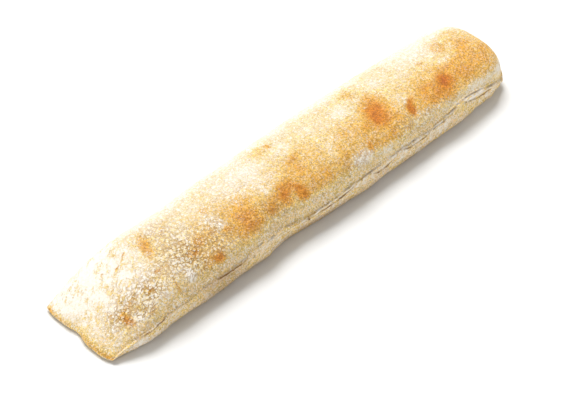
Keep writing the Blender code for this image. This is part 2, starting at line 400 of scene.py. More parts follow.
@dataclass
class LoafForm:
    """The form of the loaf, from the same named sizes as the solid that it stands for."""

    length: float = 451.0
    front: float = 43.0  # half breadth towards the open seam
    back: float = 42.5
    crown: float = 44.5
    belt: float = 16.0  # height of the widest girth
    side_bulge: float = 2.6  # powers of the section's superellipses
    top_bulge: float = 2.4
    foot_bulge: float = 3.4
    foot_press: float = 1.35
    section_steps: tuple[int, int] = (200, 1000)  # points of the foot and of the dome
    flat_half: float = 28.0
    flat_start: float = 58.0
    flat_finish: float = 405.0
    curl: float = 0.6  # how far the base lifts round its flat rectangle
    curl_run: float = 9.0
    rim: float = 5.5  # thickness of the pinched end
    rim_round: float = 4.0
    rim_belt: float = 1.6
    pinch_run: float = 95.0
    pinch_swell: float = 2.2
    lobe_run: float = 14.0
    end_round: float = 32.0
    end_bulge: float = 2.6
    foot_hold: float = 0.45
    undercut: float = 9.0
    back_undercut: float = 3.0
    undercut_run: float = 34.0
    undercut_top: float = 10.5
    undercut_step: float = 4.0
    front_seam: Seam = Seam(girth=21.5, breadth=2.2, depth=1.5, hang=0.5, reach=4.5)
    back_seam: Seam = Seam(girth=15.0, breadth=3.5, depth=1.2, hang=0.7, reach=6.0)
    spur: Blister = Blister(spot=(438, 18), length=9, breadth=9, rise=3.0)
    spur_reach: float = 5.0
    spur_droop: float = 6.0
    top_swells: tuple[Swell, ...] = (
        Swell(62, 12, 0.8),
        Swell(112, 36, -1.0),
        Swell(245, 70, 1.6),
        Swell(450, 110, -3.6),
    )
    front_swells: tuple[Swell, ...] = (
        Swell(0, 22, -5.0),
        Swell(36, 18, 0.8),
        Swell(186, 24, -3.0),
        Swell(250, 60, 0.6),
        Swell(450, 74, -4.0),
    )
    back_swells: tuple[Swell, ...] = (
        Swell(0, 18, -3.0),
        Swell(110, 34, -1.4),
        Swell(265, 70, 1.2),
        Swell(450, 70, -2.6),
    )
    seam_swells: tuple[Swell, ...] = (
        Swell(156, 18, 3.0),
        Swell(205, 16, -3.0),
        Swell(388, 26, 5.4),
        Swell(448, 22, -6.5),
    )
    seam_deepenings: tuple[Swell, ...] = (
        Swell(182, 30, 1.2),
        Swell(400, 30, 1.4),
    )
    lobes: tuple[Lobe, ...] = (
        Lobe(23, 15, 2.5),
        Lobe(-19, 17.5, 4.5),
    )
    creases: tuple[Crease, ...] = (
        Crease((67, 114), (50, 58), 7.0, 1.4),
        Crease((89, 92), (78, 34), 6.0, 0.9),
        Crease((131, 98), (120, 34), 7.0, 0.9),
        Crease((164, 116), (172, 74), 10.0, 1.6),
        Crease((172, 74), (155, 16), 10.0, 1.6),
        Crease((264, 92), (256, 24), 7.0, 1.3),
        Crease((344, 98), (322, 34), 7.0, 1.3),
        Crease((71, 58), (66, 22), 3.8, 1.8),
        Crease((80, 42), (73, 18), 3.6, 1.4),
        Crease((274, 74), (256, 24), 3.8, 1.2),
        Crease((331, 50), (317, 22), 3.8, 1.4),
    )
    blisters: tuple[Blister, ...] = (
        Blister((69, 84), 9, 13, 1.2),
        Blister((102, 46), 15, 10, 1.0),
        Blister((145, 54), 19, 18, 1.2),
        Blister((195, 48), 13, 10, 1.4),
        Blister((217, 60), 11, 10, 1.2),
        Blister((233, 46), 14, 11, 1.1),
        Blister((309, 68), 12, 15, 1.5),
        Blister((303, 46), 18, 12, 1.0),
        Blister((335, 49), 6, 10, 0.8),
        Blister((385, 58), 36, 24, 1.0),
        Blister((404, 86), 7, 7, 0.8),
        Blister((28, 47), 15, 13, 1.0),
    )
    section_girth: Array = field(init=False)
    section_y: Array = field(init=False)
    section_z: Array = field(init=False)

    def __post_init__(self) -> None:
        """Works out the full-sized section, from the front edge of the base and round it.

        Formula: the foot and the dome are quarter and half superellipses that meet at the belt. The foot's
        would sag to foot_press belt heights below it, and the floor cuts it off. The girth is the running
        sum of the steps between points.
        """
        landing = np.arcsin(self.foot_press ** (-self.foot_bulge / 2))
        foot = np.linspace(landing, 0.0, self.section_steps[0])
        foot_y = np.cos(foot) ** (2 / self.foot_bulge)
        foot_z = self.belt * (1 - self.foot_press * np.sin(foot) ** (2 / self.foot_bulge))
        dome = np.linspace(0.0, np.pi, self.section_steps[1])[1:-1]
        dome_y = -signed_power(np.cos(dome), 2 / self.side_bulge)
        dome_z = self.belt + (self.crown - self.belt) * np.sin(dome) ** (2 / self.top_bulge)
        y = np.concatenate([-foot_y, dome_y, foot_y[::-1], -foot_y[:1]])
        self.section_y = np.where(y < 0, self.front * y, self.back * y)
        self.section_z = np.concatenate([foot_z, dome_z, foot_z[::-1], foot_z[:1]])
        steps = np.hypot(np.diff(self.section_y), np.diff(self.section_z))
        self.section_girth = np.concatenate([[0.0], np.cumsum(steps)])

    @property
    def around(self) -> float:
        """Girth of the whole section."""
        return self.section_girth[-1]

    @property
    def over(self) -> float:
        """Girth from the front edge of the base over the top to its back edge."""
        return self.section_girth[-2]

    def bare_skin(self, plan: RingPlan, girth: Array, base_columns: int) -> Array:
        """Points of the loaf before its relief.

        Args:
            plan: the rings.
            girth: of each ring's points.
            base_columns: how many points of a ring lie across the base.

        Returns:
            Rings of (x, y, z). The section's dome is scaled to the crown at each distance, which climbs from
            the rim as 1 - (1 - distance / pinch_run)^pinch_swell, and its foot to the belt there.
        """
        distance = plan.distance
        rise = 1 - np.clip(1 - distance / self.pinch_run, 0.0, 1.0) ** self.pinch_swell
        crown = self.rim + (self.crown + swelling(self.top_swells, distance) - self.rim) * rise
        belt = self.belt * (1 - np.clip(1 - crown / self.crown, 0.0, 1.0) ** self.rim_belt)
        front = (self.front + swelling(self.front_swells, distance)) / self.front
        back = (self.back + swelling(self.back_swells, distance)) / self.back
        y = np.interp(girth, self.section_girth, self.section_y)
        z = np.interp(girth, self.section_girth, self.section_z)
        y = y * np.where(y < 0, front, back)
        across_base = (girth - self.over) / (self.around - self.over) * base_columns
        flat_y = self.flat_half * (1 - 2 * (across_base - 1) / (base_columns - 2))
        y = np.where(across_base > 0.5, flat_y, y) * plan.breadth_share
        over_belt = belt + (z - self.belt) / (self.crown - self.belt) * (crown - belt)
        z = np.where(z > self.belt, over_belt, z / self.belt * belt)
        z = belt + (z - belt) * np.where(z > belt, plan.crown_share, plan.foot_share)
        return np.stack([np.broadcast_to(distance, y.shape), y, z], axis=-1)

    def above_front_seam(self, distance: Array, girth: Array) -> Array:
        """Girth above the valley of the front seam."""
        return girth - self.front_seam.girth - swelling(self.seam_swells, distance)

    def relief(self, distance: Array, girth: Array) -> Array:
        """How far the solid's crust stands out of the bare skin: blisters, creases and the two seams."""
        height = sum(blister.rise * blister.bell(distance, girth) for blister in self.blisters)
        height = height + sum(crease.height(distance, girth) for crease in self.creases)
        deepening = swelling(self.seam_deepenings, distance)
        height = height + self.front_seam.height(self.above_front_seam(distance, girth), deepening)
        return height + self.back_seam.height(self.over - self.back_seam.girth - girth, 0.0)

    def shape_ends(self, points: Array, distance: Array, girth: Array) -> None:
        """Shapes both ends of the loaf in place.

        The rim's lobes are pushed out past the pinched end, less and less behind it. At the blunt end the
        base is drawn back under the crust, most at the front corner, where a spur of crust is drawn out and
        droops.

        Args:
            points: rings of (x, y, z), which this changes.
            distance: of the points.
            girth: of the points.
        """
        push = bell(points[..., 0], self.lobe_run)
        for lobe in self.lobes:
            points[..., 0] -= push * lobe.bulge * bell(points[..., 1] - lobe.y, lobe.reach, 4)
        y, z = points[..., 1], points[..., 2]
        corner = smooth_step(0.0, -0.8 * self.front, y)
        cut = self.back_undercut + (self.undercut - self.back_undercut) * corner
        below = smooth_step(self.undercut_top, self.undercut_top - self.undercut_step, z)
        points[..., 0] -= cut * below * smooth_step(self.length - self.undercut_run, self.length, distance)
        points[..., 0] += self.spur_reach * self.spur.bell(distance, girth)
        points[..., 2] -= self.spur_droop * self.spur.bell(distance, girth)

    def base_height(self, distance: Array, y: Array) -> Array:
        """How high the base is: 0 on its flat rectangle, and curl (1 - exp(-away / curl_run)) round it."""
        beyond = np.maximum(np.maximum(self.flat_start - distance, distance - self.flat_finish), 0.0)
        away = np.hypot(beyond, np.maximum(np.abs(y) - self.flat_half, 0.0))
        return self.curl * (1 - np.exp(-away / self.curl_run))


def outward(points: Array) -> Array:
    """Unit vectors that point out of the skin: the cross product of its runs round and along the loaf."""
    lengthwise = np.gradient(points, axis=0)
    round_it = np.roll(points, -1, axis=1) - np.roll(points, 1, axis=1)
    normal = np.cross(round_it, lengthwise)
    return normal / np.maximum(np.linalg.norm(normal, axis=-1, keepdims=True), 1e-9)


# ---- The fine relief of the crust ----


@dataclass
class FineRelief:
    """The relief that the solid leaves out, in millimetres: waves, crinkles, crackle and the torn seam."""

    form: LoafForm
    at: Places
    # rise, spacing and seed of each size of wave
    waves: tuple[tuple[float, float, int], ...] = ((0.50, 30.0, 1), (0.26, 11.0, 2), (0.12, 4.6, 3))
    grain_rise: float = 0.10
    grain_size: float = 1.7
    crackle_depth: float = 0.36
    crackle_size: float = 5.0
    small_crackle_size: float = 2.6
    crumple_depth: float = 0.6
    crumple_size: float = 6.0
    crumple_lean: float = 33.0  # degrees, from the run of the loaf towards growing girth
    crumple_draw: float = 3.6  # how many times as long as broad the crumpled cells are
    crumple_reach: float = 84.0  # the distance at which the crumpling has died out
    crumple_start: Ramp = Ramp(2, 7)  # behind the rim
    crumple_edge: Ramp = Ramp(30, 46)  # over the seam
    tear_rise: float = 2.0  # girth from the seam's valley up to the crust's torn edge
    tear_depth: float = 0.6
    tear_breadth: float = 0.5
    tear_slack: float = 2.4  # how many times as broad the tear is below as above
    tear_pinched: float = 0.35  # how open the tear is at the pinched end
    tear_opens: Ramp = Ramp(170, 208, 0.65)
    tear_narrows: Ramp = Ramp(376, 400, 0.25)
    wander: float = 0.35  # how far the tear strays to either side
    wander_run: float = 11.0
    stretch_rise: float = 0.6
    stretches: tuple[tuple[float, tuple[float, float, float], Seed], ...] = (
        # share, and spacing along, across and up
        (0.55, (1.2, 4.0, 4.0), Seed.UPRIGHT),
        (0.4, (3.2, 9.0, 9.0), Seed.BROAD),
        (0.75, (16.0, 2.2, 1.3), Seed.LAYERS),
    )
    tear_strays: tuple[Swell, ...] = (
        Swell(14, 18, 1.4),
        Swell(72, 16, -1.3),
        Swell(230, 14, -1.0),
        Swell(320, 16, 1.0),
        Swell(345, 5, -0.9),
    )
    strands: tuple[Strand, ...] = (
        Strand(205, 256, 6.0, 0.7),
        Strand(274, 305, 7.2, 0.3),
        Strand(311, 345, 3.8, 0.5),
        Strand(346, 374, 3.2, 0.7),
        Strand(386, 423, 8.0, 0.7),
        Strand(103, 139, 1.9, 0.3),
        Strand(18, 50, 2.2, 0.3),
    )
    foot_swells: tuple[Swell, ...] = (
        Swell(30, 24, -1.4),
        Swell(96, 30, -1.3),
        Swell(160, 10, -1.5),
        Swell(215, 22, 0.9),
        Swell(276, 14, -1.1),
        Swell(350, 60, -0.8),
        Swell(384, 15, -1.2),
    )
    burst: tuple[Patch, ...] = (
        Patch((34, 48), 27, 17, 1.0),
        Patch((102, 53), 38, 22, 0.8, -6),
        Patch((172, 42), 26, 12, 0.4),
        Patch((88, 88), 16, 11, 0.5),
        Patch((265, 38), 26, 8, 0.4),
        Patch((340, 38), 30, 8, 0.4),
    )
    folds: tuple[Crease, ...] = (
        Crease((67, 48), (68, 28), 1.2, 0.5, 0.6),
        Crease((76, 31), (71.5, 22.5), 0.8, 0.9, 0.6),
        Crease((61, 44), (60, 31), 1.1, 0.3, 0.5),
        Crease((95, 29), (93, 24.5), 0.8, 0.4, 0.6),
        Crease((17, 28.5), (44, 25.5), 0.6, 0.3, 0.3),
        Crease((322, 29), (326, 42), 1.0, 0.5, 0.7),
        Crease((303, 24), (304, 31), 0.8, 0.5, 0.5),
        Crease((259, 28), (264, 38), 1.0, 0.5, 0.7),
        Crease((256, 57), (268, 70), 0.8, 0.3, 0.8),
        Crease((51, 84), (60, 90.5), 0.9, 0.7, 0.7),
        Crease((12, 92), (24, 97), 0.8, 0.4, 0.7),
        Crease((38, 82), (52, 85), 0.8, 0.4, 0.7),
        Crease((30, 74), (44, 78), 0.8, 0.35, 0.7),
    )
    pores: tuple[Blister, ...] = (
        Blister((204.3, 18.7), 1.0, 0.9, -1.6),
        Blister((144.5, 18.5), 1.0, 1.5, -0.7),
        Blister((252.6, 31.2), 0.8, 0.8, -0.6),
        Blister((283, 17.2), 1.3, 0.8, -0.7),
        Blister((308.5, 72.5), 1.6, 1.0, -0.3),
        Blister((387.5, 26), 1.6, 0.9, -0.8),
    )

    @cached_property
    def tear_above(self) -> Array:
        """Girth above the front tear, which runs over the seam's valley and strays from it."""
        along = self.at.bare * (1, 0, 0)
        stray = self.tear_rise + swelling(self.tear_strays, self.at.distance)
        stray = stray + self.wander * soft_noise(along, self.wander_run, Seed.TEAR)
        stray = stray + 0.4 * self.wander * soft_noise(along, 0.3 * self.wander_run, Seed.TEAR_RAG)
        return self.form.above_front_seam(self.at.distance, self.at.girth) - stray

    @cached_property
    def opening(self) -> Array:
        """How open the tear is: least at the pinched end, 1 along the middle, a little less at the blunt."""
        distance = self.at.distance
        return self.tear_pinched + self.tear_opens.at(distance) - self.tear_narrows.at(distance)

    @cached_property
    def stretch_marks(self) -> Array:
        """Marks in the stretched dough, raised or sunk: the shares of noise at each of the spacings."""
        return sum(share * soft_noise(self.at.bare / size, 1.0, seed) for share, size, seed in self.stretches)

    @cached_property
    def torn_seam(self) -> Array:
        """The tear along the front seam and the dough below it.

        Returns:
            A narrow valley that is steep above and shallow below, so that the crust's edge overhangs; the
            strands of dough, each raised over a second valley; and the stretch marks below the tear.
        """
        above, distance = self.tear_above, self.at.distance
        breadth = np.where(above > 0, self.tear_breadth, self.tear_slack * self.tear_breadth)
        height = -self.tear_depth * self.opening * bell(above, breadth)
        for strand in self.strands:
            height = height + strand.rise * strand.shown(distance, above)
            height = height - self.tear_depth * 0.6 * strand.second_tear(distance, above, 0.8)
        below = smooth_step(0.5, -1.5, above) + 0.3 * smooth_step(11.0, 1.0, above) * (above > 0)
        height = height + self.stretch_rise * self.stretch_marks * below
        return height + swelling(self.foot_swells, distance) * bell(self.at.girth - 8.0, 6.0)

    @cached_property
    def crumple_lines(self) -> Array:
        """The lines along which the floured skin of the pinched end is crumpled.

        Returns:
            0 between lines and 1 on them: bell curves round the borders of large and small cells, which
            are drawn out along a leaning line and strayed.
        """
        distance, girth, over = self.at.distance, self.at.girth, self.form.over
        d, g = self.at.strayed(1.6, 8.0, Seed.CRUMPLE_STRAY)
        lean = math.radians(self.crumple_lean)
        drawn = (d * math.cos(lean) + g * math.sin(lean)) / self.crumple_draw
        flat = np.stack([drawn, g * math.cos(lean) - d * math.sin(lean), np.zeros(g.shape)], axis=-1)
        large = bell(cell_borders(flat, self.crumple_size, Seed.CRUMPLES), 0.07)
        small = bell(cell_borders(flat, 0.5 * self.crumple_size, Seed.SMALL_CRUMPLES), 0.10)
        broken = smooth_step(-0.35, 0.25, soft_noise(self.at.bare, 6.0, Seed.BROKEN))
        reach = smooth_step(self.crumple_reach, 0.6 * self.crumple_reach, distance)
        upper = self.crumple_edge.at(girth) * smooth_step(over - 20, over - 45, girth)
        lines = np.clip(large + 0.7 * small, 0.0, 1.0) * broken * reach * upper
        return lines * self.crumple_start.at(distance)

    @cached_property
    def crackled(self) -> Array:
        """Where the floured skin has burst into scales, 0 to 1: the shoulder of the pinched half."""
        area = patchwork(self.burst, self.at.distance, self.at.girth)
        return np.clip(area * (1 + 0.5 * soft_noise(self.at.bare, 12.0, Seed.BURST)), 0.0, 1.0)

    @cached_property
    def folded(self) -> Array:
        """The height of the named folds, each along a strayed line."""
        d, g = self.at.strayed(1.3, 6.0, Seed.FOLD_STRAY)
        return sum(fold.height(d, g) for fold in self.folds)

    @cached_property
    def in_folds(self) -> Array:
        """How deep in a fold each point lies, up to 1."""
        return np.clip(-self.folded, 0.0, 1.0)

    @cached_property
    def pored(self) -> Array:
        """The height of the pores, which is below 0."""
        return sum(pore.rise * pore.bell(self.at.distance, self.at.girth) for pore in self.pores)

    def height(self) -> Array:
        """All the fine relief: the sum of waves, grain, crackle, crumpling, folds, pores and torn seam."""
        bare = self.at.bare
        height = sum(rise * soft_noise(bare, size, seed) for rise, size, seed in self.waves)
        height = height + self.grain_rise * soft_noise(bare, self.grain_size, Seed.GRAIN)
        cracks = bell(cell_borders(bare, self.crackle_size, Seed.CRACKLE), 0.14)
        cracks = cracks + 0.5 * bell(cell_borders(bare, self.small_crackle_size, Seed.SMALL_CRACKLE), 0.2)
        height = height - self.crackle_depth * cracks * self.crackled
        height = height - self.crumple_depth * self.crumple_lines
        return height + self.folded + self.pored + self.torn_seam


# ---- Browning and flour ----


@dataclass
class Bake:
    """Where the crust is browned, floured and cracked, and where shade is painted on it, each from 0 to 1
    over the unrolled crust.
    """

    fine: FineRelief
    # how brown, from 0 for raw dough to 1 for chestnut
    cream_crust: float = 0.15
    shoulder: tuple[Ramp, Ramp] = (Ramp(30, 39), Ramp(112, 62))
    golden_shoulder: float = 0.06
    golden_run: Ramp = Ramp(60, 140, 0.16)  # more on the shoulder, past the pinched end
    golden_back: Ramp = Ramp(104, 118, 0.16)
    patches_on_crust: float = 0.6
    patches_on_walls: float = 0.5
    pale_wall: float = 0.09
    wall_edge: Ramp = Ramp(1, -1)  # across the tear
    pale_back: float = 0.10
    stretch_pale: float = 0.26
    brown_folds: float = 0.22
    brown_crumples: float = 0.10
    brown_rim: float = 0.26
    orange_rim: float = 0.14  # more, at the front of the rim
    rim_front: tuple[Ramp, Ramp] = (Ramp(19, 26), Ramp(84, 72))
    rim_back: Ramp = Ramp(86, 92)
    brown_edge: float = 0.08  # at the blunt end
    edge_top: Ramp = Ramp(20, 40)
    brown_spur: float = 0.25
    brown_sole: float = 0.24
    # how floury, from 0 for bare to 1 for white
    dusting: float = 0.24
    dusting_top: Ramp = Ramp(58, 95, 0.25)
    dusting_far: Ramp = Ramp(94, 112, 0.22)
    dusting_pinch: Ramp = Ramp(80, 35, 0.13)  # along the loaf, towards the pinched end
    dusting_wall: Ramp = Ramp(0, -2, 0.05)  # from the tear downwards
    dust_patches: float = 0.62
    bare_back: float = 0.36  # less down the back
    bare_back_varies: float = 0.22
    down_back: Ramp = Ramp(116, 142)
    shaken_off: float = 0.50  # less where it is browner than brown_from
    brown_from: float = 0.32
    bare_crumples: float = 0.46
    bare_rim: float = 0.5
    bare_folds: float = 0.6
    streaks: float = 0.56  # of flour in the stretch marks
    streak_edge: Ramp = Ramp(4, -1)  # across the tear
    strand_dust: float = 0.6
    # how coarsely the flour lies, from 0 for a film to 1 for burst scales
    film_cracks: float = 0.06
    sandy_cracks: float = 0.20
    sandy: tuple[Ramp, Ramp] = (Ramp(26, 36), Ramp(116, 96))
    sandy_pinch: float = 0.3  # the share of the sand that the pinched end has
    sandy_run: Ramp = Ramp(30, 80, 0.7)
    scale_cracks: float = 0.85
    browned: tuple[Patch, ...] = (
        # the crackled shoulder of the pinched end
        Patch((24, 46), 3.5, 10, 0.80, 6),
        Patch((30, 56), 7, 3, 0.44),
        Patch((42, 37), 6, 5, 0.22),
        Patch((36, 91), 3, 1.2, 0.6, 25),
        Patch((46, 85.5), 3.5, 1.2, 0.7, 15),
        Patch((57, 88.5), 4, 1.2, 0.5, 35),
        Patch((65, 58.5), 5, 1.6, 0.55, -10),
        Patch((38, 67.5), 4, 1.0, 0.5),
        Patch((20, 62), 3, 1.6, 0.35, 60),
        Patch((50, 51), 2.5, 2, 0.45),
        Patch((67.5, 38), 1.8, 8, 0.40),
        Patch((90, 35), 9, 5, 0.22),
        # the first blister over the top
        Patch((78, 92), 5.5, 9, 0.38, -12),
        Patch((72, 80), 6.2, 12, 0.62, -6),
        Patch((89, 84), 8, 5, 0.24, 25),
        Patch((93, 85), 3.0, 3, 0.30),
        # the crackled golden shoulder
        Patch((107, 57), 22, 10, 0.16),
        Patch((98, 51), 6, 3.5, 0.48),
        Patch((108, 57), 5, 3, 0.20),
        Patch((108, 39), 10, 6, 0.34),
        Patch((114, 36.5), 4.5, 5, 0.42),
        Patch((134, 52), 4, 2.5, 0.30),
        Patch((131, 78), 4.5, 3, 0.22),
        Patch((152, 48), 16, 13, 0.36),
        Patch((150, 42), 12, 6, 0.08),
        Patch((155, 68), 19, 16, 0.14),
        # the darkest blisters of the middle
        Patch((181, 45), 12, 8, 0.30),
        Patch((197, 52), 9, 8, 0.58, 30),
        Patch((193, 43), 6, 6, 0.26),
        Patch((208, 42), 6.5, 9, 0.62),
        Patch((175, 43), 6, 3, 0.22),
        Patch((216, 60), 12, 10, 0.24),
        Patch((221, 58), 5, 5, 0.10),
        Patch((231, 43), 17, 10, 0.28),
        Patch((239, 62), 10, 12, 0.10),
        Patch((210, 96), 13, 9, 0.30),
        Patch((218, 95), 2.5, 4, 0.40),
        Patch((223, 71), 8, 4, 0.30),
        Patch((257, 45), 7, 7, 0.14),
        # the golden stretch before the large blister
        Patch((291, 50), 34, 16, 0.20),
        Patch((304, 38), 14, 6, 0.20),
        Patch((281, 100), 5, 5, 0.34),
        Patch((308, 95), 8, 7, 0.30),
        Patch((284, 41), 3, 4, 0.30),
        Patch((273, 42.5), 3, 2, 0.34),
        Patch((295, 57), 4, 3, 0.16),
        Patch((313, 67), 12, 18.5, 0.68, -26),
        Patch((308, 61), 5, 9, 0.10, -25),
        Patch((323, 47), 4, 5, 0.20),
        Patch((338, 48), 4.5, 7, 0.66, -20),
        Patch((343, 55), 3, 2.5, 0.34),
        # the blunt end
        Patch((396, 53), 52, 18, 0.33),
        Patch((360, 52), 12, 11, 0.12),
        Patch((372, 43), 10, 5, 0.18),
        Patch((382, 53), 10, 9, 0.36, -20),
        Patch((383, 52), 5, 4.5, 0.28),
        Patch((398, 63), 7, 3, 0.08),
        Patch((406, 85), 4.2, 5.5, 0.52, hollow=0.6),
        Patch((416, 86), 3, 3, 0.24),
        Patch((423, 74), 8, 8, 0.28),
        Patch((434, 59), 4, 4, 0.12),
        Patch((381, 81), 5, 3, 0.30),
        Patch((428, 96), 22, 22, 0.22),
        # tan dough on the wall below the seam
        Patch((58, 15), 26, 4, 0.20),
        Patch((184, 17), 17, 5, 0.34),
        Patch((263, 20), 9, 4, 0.30),
        Patch((380, 23), 9, 4, 0.30),
        Patch((404, 16), 9, 4, 0.26),
        Patch((214, 16), 7, 2, 0.34),
        # the hidden back
        Patch((150, 128), 26, 11, 0.40),
        Patch((238, 132), 20, 9, 0.46),
        Patch((352, 126), 30, 12, 0.40),
        Patch((346, 128), 8, 6, 0.40),
        Patch((96, 130), 12, 8, 0.30),
    )
    floured: tuple[Patch, ...] = (
        Patch((28, 88), 36, 28, 0.46),
        Patch((56, 76), 13, 8, 0.36),
        Patch((83, 37), 5, 6, 0.95),
        Patch((76, 54), 16, 15, 0.30),
        Patch((59, 38), 3.5, 6, 0.60),
        Patch((130, 64), 8, 10, 0.54, 20),
        Patch((132, 58), 6, 3, 0.40, 40),
        Patch((180, 78), 21, 19, 0.46),
        Patch((182, 60), 3.5, 6, 0.42),
        Patch((253, 60), 4.5, 8, 0.36, -20),
        Patch((262, 63), 8, 3, 0.36, 50),
        Patch((258, 84), 12, 9, 0.18),
        Patch((286, 83), 11, 7, 0.46, 20),
        Patch((278, 63), 6, 4, 0.32, 40),
        Patch((271, 37), 13, 7, 1.0),
        Patch((299, 31), 8, 5, 0.50),
        Patch((337, 60), 10, 7, 0.36, 35),
        Patch((336, 90), 8, 12, 0.24),
        Patch((345, 40), 22, 5, 0.42),
        Patch((384, 94), 26, 13, 0.27),
        Patch((398, 69), 7, 5, 0.44),
        Patch((428, 112), 18, 14, 0.30),
        Patch((38, 50), 30, 20, 0.56),
        Patch((102, 54), 30, 22, 0.34),
        Patch((441, 27), 10, 9, 0.40),
        Patch((424, 31), 26, 5.5, 0.42),
        Patch((120, 41), 14, 4, 0.14),
        Patch((180, 37), 18, 4, 0.20),
        Patch((224, 30), 22, 7, -0.34),
        Patch((390, 33), 58, 6, 0.28),
        Patch((222, 84), 14, 7, 0.22),
        Patch((308.5, 73), 2.5, 1.6, 0.5),
        Patch((105, 84), 62, 20, 0.12),
        Patch((40, 66), 28, 9, 0.22),
        Patch((158, 80), 13, 19, 0.17),
        # spots that the flour left bare
        Patch((75, 87), 7, 14, -0.32, -10),
        Patch((209, 96), 13, 9, -0.22),
        Patch((424, 82), 15, 16, -0.16),
        Patch((308, 97), 10, 8, -0.34),
        Patch((56, 27), 54, 9, -0.48),
        Patch((26, 51), 7, 9, -0.26),
        Patch((325, 96), 46, 17, -0.12),
        # on the wall below the seam
        Patch((150, 14), 10, 4, 0.26),
        Patch((224, 11), 14, 4, 0.24),
        Patch((313, 16), 8, 4, 0.45),
        Patch((356, 16), 9, 4, 0.30),
        Patch((428, 13), 9, 5, 0.40),
        Patch((10, 20), 9, 5, 0.20),
    )
    # painted shadow along the foot, where it meets the paper, and painted shade in a hollow of the foot line
    painted_foot_shade: tuple[Patch, ...] = (
        Patch((225, 2), 240, 8, 0.48),
        Patch((112, 16), 26, 9, 0.32),
    )

    @cached_property
    def torn_edges(self) -> tuple[Array, Array]:
        """The two coordinates, strayed, for patches whose edges look torn."""
        return self.fine.at.strayed(1.6, 6.0, Seed.BAKE_STRAY)

    @cached_property
    def browning(self) -> Array:
        """How dark the crust is baked.

        Returns:
            Pale dough below the seam and down the back, cream over the seam, a golden shoulder, the named
            patches, the bottoms of the folds, the rims of both ends, the spur and the sole.
        """
        fine, form = self.fine, self.fine.form
        distance, girth, bare = fine.at.distance, fine.at.girth, fine.at.bare
        d, g = self.torn_edges
        lengthwise = self.golden_shoulder + self.golden_run.at(d)
        over = form.over
        back = self.golden_back.at(g) * smooth_step(over - 16, over - 30, g)
        patches = patchwork(self.browned, d, g)
        brown = self.cream_crust + lengthwise * zone(self.shoulder, g) + back
        brown = brown + self.patches_on_crust * patches
        brown = brown + 0.05 * soft_noise(bare, 13.0, Seed.BROWN)
        brown = brown + self.brown_folds * fine.in_folds + self.brown_crumples * fine.crumple_lines
        wall = self.pale_wall + self.patches_on_walls * patches - self.stretch_pale * fine.stretch_marks
        brown = brown + (wall - brown) * self.wall_edge.at(fine.tear_above)
        lobes = zone(self.rim_front, g) + self.rim_back.at(g) * smooth_step(over - 18, over - 36, g)
        rim = bell(distance, 2.6 + 1.2 * soft_noise(bare, 7.0, Seed.RIM))
        back_wall = smooth_step(over - 36.0, over - 14.0, g)
        brown = brown + (self.pale_back + self.patches_on_walls * patches - brown) * back_wall
        brown = brown + rim * lobes * (self.brown_rim + self.orange_rim * bell(g - 33.0, 9.0))
        edge = smooth_step(form.length - 7.0, form.length - 1.0, distance)
        brown = brown + self.brown_edge * edge * self.edge_top.at(g)
        spur = self.brown_spur * form.spur.bell(distance, girth)
        sole = smooth_step(over - 6.0, over + 2.0, girth) + smooth_step(5.0, 0.0, girth)
        return np.clip(brown + spur + self.brown_sole * sole, 0.0, 1.0)

    @cached_property
    def flour(self) -> Array:
        """How thickly flour lies on the crust.

        Returns:
            A light dusting all over, more over the far half of the top, at the pinched end, below the seam
            and in the named patches, less down the back and where the crust is browned, and none in folds
            and crumples.
        """
        fine, above = self.fine, self.fine.tear_above
        distance, bare = fine.at.distance, fine.at.bare
        d, g = self.torn_edges
        flour = self.dusting + self.dusting_top.at(g) + self.dusting_far.at(g) + self.dusting_pinch.at(d)
        bare_back = self.bare_back + self.bare_back_varies * soft_noise(bare, 12.0, Seed.BARE_BACK)
        flour = flour - bare_back * self.down_back.at(g) + self.dust_patches * patchwork(self.floured, d, g)
        flour = flour + 0.08 * soft_noise(bare, 14.0, Seed.DUST)
        flour = flour - self.shaken_off * np.clip(self.browning - self.brown_from, 0.0, 1.0)
        flour = flour - self.bare_crumples * fine.crumple_lines - self.bare_rim * bell(distance, 3.0)
        flour = flour - self.bare_folds * fine.in_folds
        streaks = self.streaks * fine.stretch_marks * self.streak_edge.at(above)
        strands = sum(strand.shown(distance, above) * strand.rise for strand in fine.strands)
        flour = flour + streaks + self.dusting_wall.at(above) + self.strand_dust * strands
        return np.clip(flour, 0.0, 1.0)

    @cached_property
    def cracking(self) -> Array:
        """How coarse the flour lies: 0 for a soft film, 1 for burst scales with dark cracks and specks."""
        sandy = self.sandy_cracks * zone(self.sandy, self.fine.at.girth)
        base = self.film_cracks + sandy * (self.sandy_pinch + self.sandy_run.at(self.fine.at.distance))
        return np.clip(base + self.scale_cracks * self.fine.crackled, 0.0, 1.0)

    @cached_property
    def painted_shade(self) -> Array:
        """Painted shade: how deep a point lies in a tear, a fold or a pore, where it is painted darker and
        yellower.

        Returns:
            Up to 1 at the bottom of the tears, whose painted shade comes and goes along them, and of the
            pores;
            0.3 at most in folds; and up to 0.5 as painted shadow in the shelter of the foot.
        """
        fine, above, distance = self.fine, self.fine.tear_above, self.fine.at.distance
        along = fine.at.bare * (1, 0, 0)
        tear = bell(above, np.where(above > 0, 0.5, 0.8)) * fine.opening
        tear = tear * (0.50 + 0.40 * soft_noise(along, 5.0, Seed.TEAR_SHADE))
        tear = tear + patchwork(self.painted_foot_shade, distance, fine.at.girth)
        second = sum(strand.second_tear(distance, above, 0.7) for strand in fine.strands)
        second = second * (0.74 + 0.5 * soft_noise(along, 6.0, Seed.STRAND_SHADE))
        return np.clip(tear + second + 0.3 * fine.in_folds + np.clip(-fine.pored, 0.0, 1.0), 0.0, 1.0)


# ---- Finishes ----


